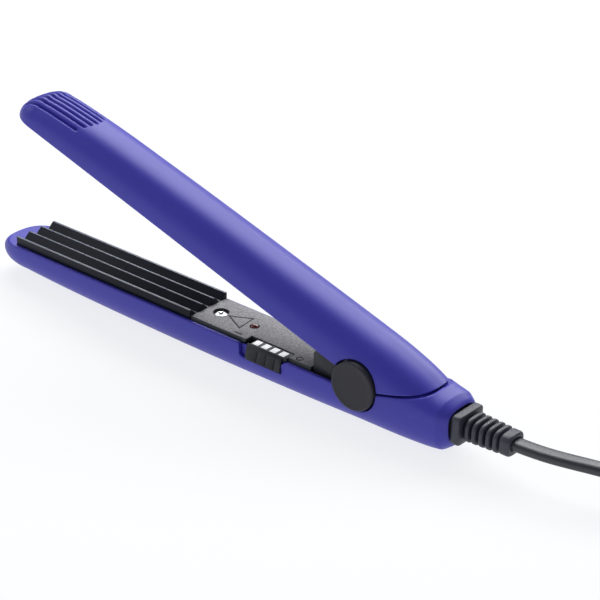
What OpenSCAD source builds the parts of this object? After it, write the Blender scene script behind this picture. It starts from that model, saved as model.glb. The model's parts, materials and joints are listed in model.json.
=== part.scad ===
// Mini hair crimper: two long arms on a hinge pin, corrugated heating plates that mesh when the
// arms close, a sliding power switch, and a mains cord with its plug.
// +Z is up and -X points to the tips. The lower arm's belly stands on z = 0.
// Most modules are drawn about the hinge axis, with the parting plane of the closed arms at z = 0.

/* [Arms] */
// Width of both arms
arm_width = 20.5; // [19.5:0.1:22]
// Distance from the hinge axis to the far end of the lower arm's nose
nose_reach = 159; // [158:0.1:160]
// Angle between the arms when the spring holds them open
open_angle = 16.8; // [14:0.1:17]
// Wall thickness of the shells at the rim
wall = 1.3; // [1.2:0.05:1.4]
// Distance from the parting plane to each shell's rim
rim_gap = 2.0; // [1.8:0.05:2.2]
// Height of the hinge axis above the table
hinge_height = 14.6; // [14.45:0.05:14.7]

/* [Crimping plates] */
// Distance from the hinge axis to the plates' rear end
plate_rear = 67.8; // [66:0.1:69]
// Length of the plates
plate_length = 80.5; // [78:0.1:82]
// Distance between two crests
crest_pitch = 5.55; // [5.4:0.05:5.6]
// Depth of the corrugation
crest_depth = 2.15; // [1.9:0.05:2.4]
// Gap between the two plates when the arms are closed
plate_gap = 0.35; // [0.3:0.05:0.5]

/* [Switch] */
// Travel of the switch slider, off to on
switch_travel = 2.5; // [2:0.1:2.6]
// Length of the slider's top
slider_length = 14.8; // [14.5:0.1:15]

/* [Hinge] */
// Radius of the hinge pin
pin_r = 2; // [1.8:0.05:2.2]
// Radial running clearance of the upper arm on the pin
running_gap = 0.05; // [0.02:0.01:0.1]
// Radius of the round caps over the pin's ends
cap_r = 8; // [7.8:0.05:8.1]

/* [Strain relief] */
// Distance from the hinge axis to the end of the strain relief
boot_end = 52.4; // [52:0.1:53.5]
// Width of the strain relief where it leaves the flange
boot_width = 9.6; // [9.4:0.1:10]

/* [Cord and plug] */
// Width of the flat cord
cord_width = 5.3; // [5:0.1:5.5]
// Thickness of the flat cord
cord_height = 3.3; // [3.1:0.1:3.5]
// Length of the straight runs of the hank that the spare cord is folded into
hank_run = 44; // [42:1:48]
// Length of the plug's body
plug_length = 35; // [33:0.5:38]
// Diameter of the plug's pins
plug_pin_d = 4; // [3.9:0.05:4.1]

/* [Hidden] */
$fn = 48;

violet = "#4a48a8";
black = "#1d1f24";
charcoal = "#3b3c40";
grey = "#8d8c8a";
steel = "#c9ccd0";
white = "#f1f1ee";
red = "#7d1620";

hinge_x = (nose_reach - boot_end) / 2;  // puts the origin under the middle of the object
half_w = arm_width / 2;
nose_start = 145;             // where the arms begin to round, from the hinge axis
tail_end = 32.9;
tail_recess = 29.3;           // floor of the recess around the strain relief
section_power = 2.67;         // squareness of the arms' cross-section
ring_points = 32;
cap_recess_r = cap_r + 0.5;
plate_front = plate_rear + plate_length;
plate_half = 1.5 * crest_pitch + 0.5;
crest_z = crest_depth / 2;
cavity_half = half_w - wall;
panel_top = -0.95;            // the lower panel's top face; the upper one is its mirror image
panel_front = plate_rear - 0.1;
panel_rear = 18;
screw_x = -62.4;
screw_recess_r = 2.65;
led_x = -48.1;
slider_rear = -27;            // rear end of the slider's top in the off position
slider_front = slider_rear - slider_length;
boot_z = -3.3;                // height of the cord's axis as it leaves
boot_front = 36.2;            // rear face of the strain relief's flange

// ---------- curves and lofts ----------

// A smooth curve through [x, value] stations
function place_of(s, x, i = 0) = i >= len(s) - 2 || x < s[i + 1][0] ? i : place_of(s, x, i + 1);
function slope_at(s, i) =
    let (a = max(i - 1, 0), b = min(i + 1, len(s) - 1)) (s[b][1] - s[a][1]) / (s[b][0] - s[a][0]);
function curve(s, x) =
    let (i = place_of(s, x), h = s[i + 1][0] - s[i][0], t = (x - s[i][0]) / h)
    (2 * t ^ 3 - 3 * t ^ 2 + 1) * s[i][1] + (t ^ 3 - 2 * t ^ 2 + t) * h * slope_at(s, i)
    + (3 * t ^ 2 - 2 * t ^ 3) * s[i + 1][1] + (t ^ 3 - t ^ 2) * h * slope_at(s, i + 1);

// Points [y, z] of a squarish ring about z = middle, with its own depth above and below
function power(v, p) = sign(v) * abs(v) ^ p;
function ring(half, middle, up, down) = [
    for (k = [0:ring_points - 1])
        let (a = 360 * (k + 0.5) / ring_points, c = power(cos(a), 2 / section_power),
             s = power(sin(a), 2 / section_power))
        [half * c, middle + (s > 0 ? up : down) * s]
];

// A closed surface through rings of equal point count
module loft(rings) {
    n = len(rings[0]);
    last = len(rings) - 1;
    polyhedron(
        [for (r = rings) each r],
        [
            [for (k = [0:n - 1]) k],
            [for (k = [n - 1:-1:0]) last * n + k],
            for (i = [0:last - 1], k = [0:n - 1])
                let (a = i * n + k, b = i * n + (k + 1) % n)
                each [[a, a + n, b + n], [a, b + n, b]]
        ],
        convexity = 6);
}

// Points of a rounded-end slot outline of given length and width, in the XY plane
module slot_outline(length, width) {
    hull()
        for (s = [-1, 1]) translate([s * (length - width) / 2, 0]) circle(d = width);
}

// A wire or flat cord swept along [x, y, z, roll] points; roll 90 stands its width upright
function at(p) = [p[0], p[1], p[2]];
module sweep(points, w, h, sides = 8) {
    n = len(points);
    rings = [
        for (i = [0:n - 1])
            let (
                a = at(points[max(i - 1, 0)]), b = at(points[min(i + 1, n - 1)]),
                t = (b - a) / norm(b - a),
                side = cross([0, 0, 1], t),
                r = norm(side) > 0.05 ? side / norm(side) : [0, 1, 0],
                u = cross(t, r),
                roll = len(points[i]) > 3 ? points[i][3] : 0)
            [for (k = [0:sides - 1])
                let (q = 360 * (k + 0.5) / sides, across = w / 2 * cos(q) / cos(180 / sides),
                     up = h / 2 * sin(q) / cos(180 / sides))
                at(points[i]) + r * (across * cos(roll) - up * sin(roll))
                    + u * (across * sin(roll) + up * cos(roll))]
    ];
    loft(rings);
}

// Everything above (side = 1) or below (side = -1) a line of [x, z] points, over the full width
module beyond_line(line, side) {
    far = 60 * side;
    rotate([90, 0, 0])
        linear_extrude(60, center = true)
            polygon([each line, [line[len(line) - 1][0], far], [line[0][0], far]]);
}

module at_hinge() { translate([hinge_x, 0, hinge_height]) children(); }
module on_upper_arm() { at_hinge() rotate([0, open_angle, 0]) children(); }
module along_y(length) { rotate([90, 0, 0]) linear_extrude(length, center = true) children(); }
module both_sides() { children(); mirror([0, 1, 0]) children(); }

// ---------- outer form of the arms ----------

belly = [[-150, -12.1], [-132, -13.3], [-105, -14.3], [-60, -14.95], [-20, -14.6], [0, -14.1],
         [20, -13.9], [29, -13.3], [tail_end, -11.8]];
tail_top = [[-150, 8], [0, 8], [20, 6.5], [26.5, 4.7], [30.5, 3.6], [tail_end, 2.3]];
lower_half = [[-150, half_w], [0, half_w], [14, half_w - 0.1], [26, half_w - 0.8], [30.5, half_w - 1.4],
              [tail_end, half_w - 2.6]];
seam = [[cap_recess_r - 0.6, -0.2], [12, 0.8], [17.5, 2.2], [22, 3.5], [25, 4.6], [26.6, 5.5], [28, 10]];

// How far the nose runs past its start at height z, furthest at z_mid, none at z_top or z_bottom
function nose_run(z, z_mid, z_top, z_bottom, run, p) =
    let (h = z > z_mid ? z_top - z_mid : z_mid - z_bottom, u = min(abs(z - z_mid) / h, 0.985))
    run * (1 - u ^ p) ^ (1 / p);
// The nose's plan is a squarish half ellipse; q runs from 0 at its start to 90 at its tip
nose_power = 2.6;
nose_steps = [86, 74, 60, 44, 28, 14];
function nose_point(p, q, run) =
    [-nose_start - run * sin(q) ^ (2 / nose_power), p[0] * cos(q) ^ (2 / nose_power), p[1]];

// Rings of an arm: nose rings first, then one ring at each station; inset makes the cavity
function lower_ring(x, inset) =
    let (mid = x < 10 ? -rim_gap : -rim_gap + (x - 10) * 0.02)
    ring(curve(lower_half, x) - inset, mid,
         max(curve(tail_top, x) - mid - inset, 1), mid - curve(belly, x) - inset * 1.3);
function lower_nose(inset) = [
    for (q = nose_steps)
        [for (p = lower_ring(-nose_start, inset))
            nose_point(p, q, nose_run(p[1], -6, 0, -13, nose_reach - nose_start - inset, 2.2))]
];
lower_stations = [-nose_start, -132, -118, -105, -90, -75, -60, -45, -32, -20, -9, 0, 8, 14, 20, 24,
                  28, 30.5, 32.4, tail_end];
module lower_form(inset = 0) {
    loft([
        each lower_nose(inset),
        for (x = lower_stations) [for (p = lower_ring(x, inset)) [x, p[0], p[1]]]
    ]);
}

crown = [[-150, 10.3], [-140, 11.9], [-120, 13.3], [-100, 13.8], [-75, 14.2], [-40, 14.4],
         [0, 14.4], [8, 14], [16, 13.1], [24, 11.5]];
upper_half = [[-150, half_w], [-110, half_w], [0, half_w], [14, half_w - 0.2], [24, half_w - 1]];
function upper_ring(x, inset) =
    ring(curve(upper_half, x) - inset, rim_gap, curve(crown, x) - rim_gap - inset * 1.3, 6);
function upper_nose(inset) = [
    for (q = nose_steps)
        [for (p = upper_ring(-nose_start, inset))
            nose_point(p, q, nose_run(p[1], 3, 11.8, -14, 9.9 - inset, 1.5))]
];
upper_stations = [-nose_start, -140, -132, -125, -118, -105, -90, -75, -60, -45, -30, -15, 0, 8, 14, 20, 27];
module upper_form(inset = 0) {
    loft([
        each upper_nose(inset),
        for (x = upper_stations) [for (p = upper_ring(min(x, 24), inset)) [x, p[0], p[1]]]
    ]);
}

// The line of the lower arm's upper edge, from the nose to past the tail
lower_edge = [[-170, -rim_gap], [-cap_recess_r + 0.4, -rim_gap], each seam];
// The same seam carried into the closed upper arm's own frame
function to_arm(p) = [
    p[0] * cos(open_angle) - p[1] * sin(open_angle), p[0] * sin(open_angle) + p[1] * cos(open_angle)
];
seam_gap = 0.45;
upper_edge = [
    [-170, rim_gap], [-cap_recess_r + 0.4, rim_gap],
    for (p = seam) let (q = to_arm(p)) [q[0] - seam_gap * 0.5, q[1] + seam_gap],
    [60, 60]
];

// ---------- lower arm ----------

// Room for the crimping plate, just over its length and width; drawn for the lower arm
module plate_pocket() {
    translate([-plate_front - 0.3, -cavity_half, -3.7]) cube([plate_length, 2 * cavity_half, 6]);
}
module cover_boss(height) {
    translate([screw_x, 0, -13.5]) cylinder(r = 2.6, h = height);
}

// Rounded wall with the deck around the plates, open along the panel, closed at the nose and tail
module lower_shell() {
    color(violet) at_hinge() difference() {
        union() {
            difference() {
                lower_form();
                beyond_line(lower_edge, 1);
                translate([-200, -50, -hinge_height - 10]) cube([400, 100, 10]);
                difference() {
                    lower_form(wall);
                    // deck around the plates' front end, and floor of the tail's recess
                    translate([-170, -20, -4]) cube([170 - plate_front - 0.3, 40, 20]);
                    translate([tail_recess - 2.2, -20, -20]) cube([2.2, 40, 40]);
                }
                plate_pocket();
            }
            cover_boss(13.5 - 3.9);
        }
        along_y(60) circle(r = cap_recess_r);
        // recess and way through for the switch slider's skirt
        translate([slider_front - switch_travel - 1.5, -half_w - 1, -6.7])
            cube([switch_travel + slider_length + 0.2, 3.6, 8]);
        translate([slider_rear - 1.5, -half_w - 1, -2.7]) cube([1.8, 3.6, 3]);
        // way through the recess floor for the strain relief
        translate([tail_recess - 5, -4.05, boot_z - 3.35]) cube([10, 8.1, 6.7]);
        translate([screw_x, 0, -20]) translate([0, 0, 9.5]) cylinder(r = 1.05, h = 12);
    }
}

// Flat panel between the plates and the hinge, with sloping flanks
module panel_outline() {
    polygon([[-8.85, -3.4], [-8.35, panel_top], [8.35, panel_top], [8.85, -3.4], [7.6, -3.4],
             [7.2, panel_top - 1.3], [-7.2, panel_top - 1.3], [-7.6, -3.4]]);
}
module along_x(from, to) {
    translate([from, 0, 0]) rotate([90, 0, 90]) linear_extrude(to - from) children();
}
module panel() {
    along_x(-panel_front, -panel_rear) panel_outline();
    translate([screw_x, 0, -3.8]) cylinder(r = 3.6, h = 3.8 + panel_top - 0.2);
}
module panel_screw_hole() {
    translate([screw_x, 0, -2.6]) cylinder(r = screw_recess_r, h = 3);
    translate([screw_x, 0, -5]) cylinder(r = 1.15, h = 3);
}
module lower_inner_cover() {
    color(charcoal) at_hinge() difference() {
        panel();
        panel_screw_hole();
        translate([led_x, 0, -5]) cylinder(r = 1.65, h = 6);
        translate([slider_front - switch_travel - 0.2, -12, -5])
            cube([slider_length + switch_travel + 0.4, 6.7, 6]);
        translate([slider_front - switch_travel - 1.5, -12, -5]) cube([2, 5, 3]);
        // grooves of a plain triangle, and of the off and on marks
        translate([0, 0, panel_top - 0.15]) linear_extrude(1) difference() {
            polygon([[-59.4, -0.2], [-51.6, 3.9], [-50.6, -4.6]]);
            polygon([[-58.1, -0.2], [-52, 3.05], [-51.2, -3.7]]);
        }
        translate([-50.3, -7.2, panel_top - 0.15]) cube([3, 0.5, 1]);
        translate([-23.8, -6.7, panel_top - 0.15]) difference() {
            cylinder(r = 1.25, h = 1);
            translate([0, 0, -1]) cylinder(r = 0.85, h = 3);
        }
    }
}

// Heat-resistant channel under each plate; drawn for the lower arm
tray_front = -142;
module tray() {
    difference() {
        along_x(tray_front, -plate_rear - 0.3)
            polygon([[-7.6, -3.6], [-7.6, -5.4], [-5.6, -8], [5.6, -8], [7.6, -5.4], [7.6, -3.6]]);
        translate([tray_front + 1.2, -6, -7]) cube([-tray_front - plate_rear - 2.7, 12, 6]);
        both_sides() translate([-plate_rear - 2, 4.6, -6.3]) cube([2, 2, 4]);
    }
}
module lower_plate_tray() { color(black) at_hinge() tray(); }

// Corrugated faces: crests and valleys are flat for half a millimetre
function wave_points(shift, sign_z) = [
    for (k = [-3:3])
        let (y = k * crest_pitch / 2, z = (k % 2 == 0 ? -1 : 1) * crest_z)
        each [[y - 0.2, z * sign_z + shift], [y + 0.2, z * sign_z + shift]]
];
module lower_crimp_plate() {
    crests = wave_points(0, 1);
    color(black) at_hinge() along_x(-plate_front, -plate_rear)
        polygon([
            [-plate_half, -3.6], [-plate_half, crest_z], each crests, [plate_half, crest_z],
            [plate_half, -3.6]
        ]);
}
heater_x = -plate_rear - plate_length / 2;
module heater() {
    translate([heater_x - 31, -4.5, -5.4]) cube([62, 9, 1.8]);
}
module lower_heater() { color(grey) at_hinge() heater(); }
module insulation() {
    translate([heater_x - 31.5, -5.6, -5.8]) cube([65, 11.2, 0.4]);
}
module lower_insulation() { color("#d8c9a0") at_hinge() insulation(); }
// Bowed leaf that presses the heater against the plate
module heater_clip() {
    clip_r = 90;
    difference() {
        intersection() {
            translate([heater_x, 0, -5.82 - clip_r]) along_y(9) circle(r = clip_r, $fn = 360);
            translate([heater_x - 14, -5, -7]) cube([28, 10, 4]);
        }
        translate([heater_x, 0, -6.1 - clip_r]) along_y(10) circle(r = clip_r, $fn = 360);
    }
}
module lower_heater_clip() { color(steel) at_hinge() heater_clip(); }

// Pan head with a cross recess, sunk below the panel
module cover_screw() {
    difference() {
        union() {
            translate([screw_x, 0, -2.6]) cylinder(r = 2.3, h = 0.9);
            translate([screw_x, 0, -1.7]) cylinder(r1 = 2.3, r2 = 1.4, h = 0.35);
            translate([screw_x, 0, -10]) cylinder(r = 1, h = 7.5);
        }
        for (a = [0, 90]) translate([screw_x, 0, -1.85]) rotate(a) cube([2.4, 0.5, 1.4], center = true);
    }
}
module lower_cover_screw() { color(steel) at_hinge() cover_screw(); }

module led_indicator() {
    color(red) at_hinge() translate([led_x, 0, 0]) {
        translate([0, 0, -1.7]) sphere(r = 1.5);
        translate([0, 0, -3.9]) cylinder(r = 1.5, h = 2.2);
        translate([0, 0, -4.6]) cylinder(r = 1.9, h = 0.9);
    }
}

board_z = -6.9;
module control_board() {
    color("#2f6b3f") at_hinge() difference() {
        translate([-57, -7.4, board_z - 1.2]) cube([34, 14.8, 1.2]);
        for (s = [-1, 1]) translate([-55, s * 5.9, board_z - 2]) cylinder(r = 0.9, h = 3);
    }
}
module board_components() {
    at_hinge() translate([0, 0, board_z]) {
        color("#c8862d") translate([-34, 1.4, 0]) cube([7, 4.6, 2.6]);
        color(black) translate([-44, 3, 0]) cube([5, 3, 1.6]);
        color("#caa66a") translate([-53, -1.6, 1]) rotate([90, 0, 0]) cylinder(r = 1, h = 4.6);
        color(grey) translate([-40, 0.4, 0]) cylinder(r = 1.3, h = 2.4);
        color(grey) translate([led_x - 1, -0.9, 0]) cube([2, 1.8, 2.3]);
    }
}
module switch_body() {
    color(grey) at_hinge() difference() {
        translate([-41.5, -7.3, board_z]) cube([13.4, 3.6, 3.1]);
        translate([-40.1, -6.3, board_z + 1.2]) cube([5.6, 1.6, 3]);
    }
}
// L-shaped slider: a flush top and a skirt down the side of the arm
skirt = [[-9.3, -1.2], [-9.9, -2.2], [-11, -6.2], [-10.2, -6.4], [-9.15, -2.6], [-9.1, -1.3]];
module slider_bar_places() {
    for (k = [0:3]) translate([slider_rear - 1.5 - 3.55 * k, 0, 0]) children();
}
module switch_slider() {
    color(black) at_hinge() difference() {
        union() {
            along_x(slider_front, slider_rear)
                polygon([[-9.3, -1.2], [-9.15, -2.6], [-8.7, -2.4], [-5.5, -2.4], [-5.5, -1.2]]);
            along_x(slider_front - 1, slider_rear - 1.6) polygon(skirt);
            translate([-37.4, -6.1, -3.3]) cube([2.7, 0.7, 1.2]);
        }
        slider_bar_places() translate([-2.3, -8.85, -1.45]) cube([2.3, 2.85, 1]);
        // shallow lines down the skirt, and its trimmed lower front corner
        for (k = [1:3]) let (x = slider_rear - 0.65 - 3.55 * k)
            along_x(x, x + 0.35) polygon([[-12, -2.4], [-9.75, -2.4], [-10.72, -5.9], [-12, -5.9]]);
        translate([slider_front - 1, -10.5, -6.4]) along_y(3)
            polygon([[-1, -1], [1.5, -1], [1.3, 0.1], [0.3, 0.5], [0.1, 1.5], [-1, 1.5]]);
    }
}
module slider_bars() {
    color(white) at_hinge() slider_bar_places() translate([-2.3, -8.85, -1.45]) cube([2.3, 2.85, 0.3]);
}
module switch_actuator() {
    color(white) at_hinge() translate([-37.2, -6, -5.2]) cube([2.3, 1, 1.9]);
}
module thermal_fuse() {
    color(steel) at_hinge() {
        translate([-59.5, 5, -8]) rotate([0, -90, 0]) cylinder(r = 0.8, h = 6.5);
        translate([-57.8, 5, -8]) rotate([0, -90, 0]) cylinder(r = 0.35, h = 9.6);
    }
}
// Sleeved leads, one each side of the middle
module lead(points) { sweep(points, 1.3, 1.3, 6); }
module lower_heater_leads() {
    color(white) at_hinge() both_sides()
        lead([[-73.8, 5, -5], [-71, 5.15, -5.2], [-67, 5.5, -5.3], [-61, 5.4, -5.3],
              [-57, 5, -5.5]]);
}
module mains_leads() {
    color("#7b4a2a") at_hinge() both_sides()
        lead([[-22, 2, -8.8], [-16, 1.6, -9.4], [-8, 1.6, -9.8], [2, 1.6, -9.6], [10, 1.6, -8.6],
              [15, 1.6, -6], [18.5, 1.5, -3.7]]);
}

// ---------- hinge ----------

module hinge_block() {
    color(black) at_hinge() difference() {
        union() {
            along_x(-17.4, -8.4)
                polygon([
                    [-7.9, 4.3], [-7.9, -5], [-7, -8.2], [-5.8, -10.6],
                    [5.8, -10.6], [7, -8.2], [7.9, -5], [7.9, 4.3]
                ]);
            along_y(15.8) polygon([[-17.4, 4.3], [-8.4, 4.3], [-8.4, 6], [-15.4, 6]]);
            along_y(10) hull() {
                circle(r = 5.3);
                translate([-9, -10.6]) square([14.2, 5]);
            }
            // rib that fills the middle of the gap which opens behind the hinge as the arms close
            along_y(9) polygon([[2, -2.4], [2, 3.6], [9, 3.6], [9.8, 4.4], [9.8, 8.2], [12, 7.6],
                                [18.3, 4.9], [19.3, 4], [19.3, -1], [18.4, -2.4]]);
        }
        along_y(40) circle(r = pin_r);
        // pocket for the spring's coils and its legs
        along_y(5.2) circle(r = 4.6);
        along_y(5.2) polygon([[-20, 0.8], [-1, 0.8], [-1, 20], [-20, 20]]);
        // tunnel for the mains leads, and a shaft each side for the upper arm's leads
        translate([-30, -3.2, -11.5]) cube([60, 6.4, 3.4]);
        both_sides() translate([-14.3, 3.6, -8.4]) cube([3.6, 2.1, 20]);
        both_sides() translate([-20, 3.6, -8.4]) cube([8, 2.1, 2.6]);
    }
}
module hinge_pin() { color(steel) at_hinge() along_y(18.9) circle(r = pin_r); }
// Bevelled disc over one end of the pin
module hinge_cap() {
    at_hinge() difference() {
        union() {
            rotate([-90, 0, 0]) translate([0, 0, 8.75]) cylinder(r = cap_r, h = 1.95);
            rotate([-90, 0, 0]) translate([0, 0, 10.7]) cylinder(r1 = cap_r, r2 = cap_r - 0.5, h = 0.5);
        }
        rotate([-90, 0, 0]) cylinder(r = pin_r + 0.01, h = 9.5);
    }
}
module hinge_cap_near() { color(charcoal) mirror([0, 1, 0]) hinge_cap(); }
module hinge_cap_far() { color(charcoal) hinge_cap(); }
module hinge_washers() {
    color(white) at_hinge() both_sides() rotate([-90, 0, 0]) translate([0, 0, 5.1]) difference() {
        cylinder(r = 4.4, h = 0.5);
        translate([0, 0, -1]) cylinder(r = pin_r + 0.03, h = 3);
    }
}
spring_turns = 4;
module hinge_spring() {
    r = 3.3;
    coil = [
        for (k = [0:spring_turns * 14])
            let (a = 180 - 360 * k / 14) [r * cos(a), 2 - 4 * k / (spring_turns * 14), r * sin(a)]
    ];
    color(steel) at_hinge() sweep_any([
        [-12, 2.1, 11.7], [-9.5, 2.1, 9.2], [-7, 2.1, 6.5], [-5, 2.1, 4], [-3.7, 2.05, 1.9], each coil,
        [-4.4, -2.05, 1.3], [-8, -2.1, 1.5], [-13, -2.1, 1.5], [-16.8, -2.1, 1.5]
    ], 0.4, 6);
}
// A round wire along any path, rings carried from one point to the next
function carried(points, i, r) =
    let (n = len(points), a = points[max(i - 1, 0)], b = points[min(i + 1, n - 1)],
         t = (b - a) / norm(b - a), q = r - t * (r * t), u = q / norm(q),
         ring = [[points[i], u, cross(t, u)]])
    i == n - 1 ? ring : concat(ring, carried(points, i + 1, u));
module sweep_any(points, r, sides) {
    loft([
        for (f = carried(points, 0, [0, 1, 0]))
            [for (k = [0:sides - 1]) let (q = 360 * k / sides) f[0] + r * (f[1] * cos(q) + f[2] * sin(q))]
    ]);
}
module hinge_leads() {
    color(white) at_hinge() both_sides()
        lead([[-22, 4.6, -7.1], [-17, 4.6, -7.1], [-14, 4.6, -6.8], [-12.6, 4.6, -5.2], [-12.4, 4.6, -1],
              [-12.4, 4.6, 5], [-12.9, 4.7, 8.2], [-14.6, 4.9, 10.6], [-17.6, 5, 12], [-21, 5, 12.6]]);
}

// ---------- upper arm, drawn closed and turned open about the hinge ----------

module upper_shell() {
    color(violet) on_upper_arm() difference() {
        union() {
            difference() {
                upper_form();
                beyond_line(upper_edge, -1);
                difference() {
                    upper_form(wall);
                    // deck around the plates' front end, and the rear wall
                    translate([-170, -20, -20]) cube([170 - plate_front - 0.3, 40, 24]);
                    translate([21.6, -20, -20]) cube([10, 40, 60]);
                }
                mirror([0, 0, 1]) plate_pocket();
            }
            translate([screw_x, 0, 3.9]) cylinder(r = 2.6, h = 9);
        }
        along_y(60) circle(r = cap_recess_r);
        // shallow lengthwise grooves on the thumb grip, ending on an arc
        for (k = [-3:3]) let (y = k * grip_pitch - 0.3)
            along_y_at(y, 0.8) polygon(grip_groove(-126 - 0.05 * y * y, y));
        translate([screw_x, 0, 3]) cylinder(r = 1.05, h = 7.5);
    }
}
grip_pitch = 2.2;
grip_depth = 0.6;
module along_y_at(y, width) { translate([0, y, 0]) along_y(width) children(); }
// Side outline [x, z] of one groove: it follows the crown and runs out at its rear end
function grip_top(x, y) =
    rim_gap + (curve(crown, max(x, -nose_start)) - rim_gap)
    * (1 - min(abs(y) / half_w, 1) ^ section_power) ^ (1 / section_power);
function grip_groove(rear, y) = [
    for (x = [-145, -141, -137, -132, rear - 1]) [x, grip_top(x, y) - grip_depth],
    [rear, grip_top(rear, y) + 0.5], [-145, 20]
];
module upper_inner_cover() {
    color(charcoal) on_upper_arm() mirror([0, 0, 1]) difference() {
        intersection() {
            panel();
            translate([-100, -20, -20]) cube([100 - panel_rear - 1.5, 40, 40]);
        }
        panel_screw_hole();
    }
}
module upper_plate_tray() { color(black) on_upper_arm() mirror([0, 0, 1]) tray(); }
module upper_crimp_plate() {
    valleys = wave_points(plate_gap, 1);
    color(black) on_upper_arm() along_x(-plate_front, -plate_rear)
        polygon([
            [-plate_half, 3.6], [-plate_half, crest_z + plate_gap], each valleys,
            [plate_half, crest_z + plate_gap], [plate_half, 3.6]
        ]);
}
module upper_heater() { color(grey) on_upper_arm() mirror([0, 0, 1]) heater(); }
module upper_insulation() { color("#d8c9a0") on_upper_arm() mirror([0, 0, 1]) insulation(); }
module upper_heater_clip() { color(steel) on_upper_arm() mirror([0, 0, 1]) heater_clip(); }
module upper_cover_screw() { color(steel) on_upper_arm() mirror([0, 0, 1]) cover_screw(); }
// Two ears on the pin, carried up to a bridge under the arm's crown and a tongue for the spring
module upper_hinge_frame() {
    color(black) on_upper_arm() difference() {
        union() {
            both_sides() translate([0, 6.8, 0]) along_y(2.2) hull() {
                circle(r = 7.3);
                translate([-6.5, 6]) square([13, 2]);
            }
            translate([-6.5, -7, 7.4]) cube([13, 14, 2.2]);
            translate([-18, -7, 8.6]) cube([14, 14, 1]);
        }
        along_y(40) circle(r = pin_r + running_gap);
    }
}
module upper_heater_leads() {
    color(white) on_upper_arm() both_sides()
        lead([[-73.8, 5, 5], [-71, 5.15, 5.2], [-67, 5.6, 5.5], [-63, 5.8, 6], [-50, 5.2, 6],
              [-34, 5, 6], [-24, 5, 6]]);
}

// ---------- strain relief, cord and plug ----------

// Flat-sided section with rounded corners, in the YZ plane
corner_steps = 4;
module soft_box(w, h, r) {
    corners = [[1, 1], [-1, 1], [-1, -1], [1, -1]];
    polygon([
        for (c = [0:3], k = [0:corner_steps])
            let (a = 90 * (c + k / corner_steps))
            [corners[c][0] * (w / 2 - r) + r * cos(a), corners[c][1] * (h / 2 - r) + r * sin(a)]
    ]);
}
boot_ribs = 5;
boot_pitch = 2.4;
module strain_relief() {
    color(charcoal) at_hinge() difference() {
        union() {
            // anchor inside the tail, neck, and flange
            translate([0, 0, boot_z]) {
                along_x(tail_recess - 5.4, tail_recess - 2.4) square([12, 9], center = true);
                along_x(tail_recess - 2.6, tail_recess + 0.3) square([8, 6.6], center = true);
            }
            translate([0, 0, boot_z - 0.6])
                along_x(tail_recess + 0.1, tail_end + 0.5) soft_box(9.8, 7.4, 0.8);
            translate([0, 0, boot_z - 0.4]) along_x(tail_end + 0.3, boot_front) soft_box(12, 9, 0.8);
            // ribs, the core between them, the spine underneath, and the end knob
            for (k = [0:boot_ribs - 1])
                translate([0, 0, boot_z - 0.3]) along_x(boot_front + 1.1 + boot_pitch * k,
                                                        boot_front + 2.4 + boot_pitch * k)
                    soft_box(boot_width - 0.25 * k, boot_width - 1.8 - 0.15 * k, 2);
            translate([0, 0, boot_z]) along_x(boot_front - 0.5, boot_end - 2) soft_box(6.6, 5.6, 1.6);
            translate([0, 0, boot_z - 2.3]) along_x(boot_front - 0.4, boot_end - 1) soft_box(7.4, 3.6, 1.2);
            translate([0, 0, boot_z - 0.2]) along_x(boot_end - 3.6, boot_end) soft_box(8.2, 6.8, 2.4);
        }
        translate([0, 0, boot_z]) along_x(boot_end - 3.3, boot_end + 1)
            square([cord_width, cord_height], center = true);
    }
}
clamp_x = 21.8;
module cord_clamp() {
    color(black) at_hinge() translate([clamp_x, 0, boot_z]) difference() {
        translate([-1.5, -6.2, 1.7]) cube([3, 12.4, 1.6]);
        for (s = [-1, 1]) translate([0, s * 4.7, 0]) cylinder(r = 0.95, h = 9);
    }
}
module cord_clamp_screws() {
    color(steel) at_hinge() for (s = [-1, 1]) translate([clamp_x, s * 4.7, boot_z]) {
        translate([0, 0, 3.3]) cylinder(r = 1.6, h = 1.1);
        translate([0, 0, -3]) cylinder(r = 0.9, h = 6.4);
    }
}
module inner_cord_end() {
    color(charcoal) at_hinge() along_x(19.6, tail_recess - 5.4)
        translate([0, boot_z]) soft_box(cord_width, cord_height, 1.6);
}

// Where the cord runs, from inside the strain relief into the hank, turning on edge as it joins
cord_route = [
    [50, 0, -3.3, 0], [54, 0, -3.3, 0], [58, 0.3, -3.3, 0], [63, 1, -3.3, 0], [69, 2.4, -3.3, 0],
    [75, 4.4, -3.5, 0], [81, 6.9, -4.2, 0], [87, 9.4, -5.7, 0], [93, 11.6, -7.8, 0],
    [99, 13.5, -10, 5], [105, 15.2, -11.7, 20], [111, 16.8, -12.2, 40], [117, 18.3, -12, 60],
    [123, 19.7, -11.6, 80], [129, 20.9, -11.4, 90]
];
// The hank: layers of two turns lying on edge, spiralling in and out in turn
hank_layers = 4;
hank_pitch = cord_height + 0.3;                          // from one turn to the next beside it
layer_height = cord_width + 0.1;
hank_inner_r = 3 * cord_width + 0.1;                     // bend of its innermost turn
hank_outer_r = hank_inner_r + 2 * hank_pitch;
hank_side = hank_outer_r - hank_pitch / 4 + cord_height / 2;
hank_start = 110;
hank_length = hank_run + 2 * hank_side;
hank_height = hank_layers * layer_height;
hank_middle = hank_start + hank_length / 2;
tie_thick = 0.5;
hank_top = tie_thick + hank_height - hinge_height;
module cord() { color(charcoal) at_hinge() sweep(cord_route, cord_width, cord_height); }
module cord_hank() {
    hole = hank_side - 2.75 * hank_pitch;
    color(charcoal) at_hinge() translate([hank_middle, 0, tie_thick - hinge_height]) difference() {
        linear_extrude(hank_height) slot_outline(hank_length, 2 * hank_side);
        translate([0, 0, -1]) linear_extrude(hank_height + 2) slot_outline(hank_run + 2 * hole, 2 * hole);
    }
}
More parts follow.
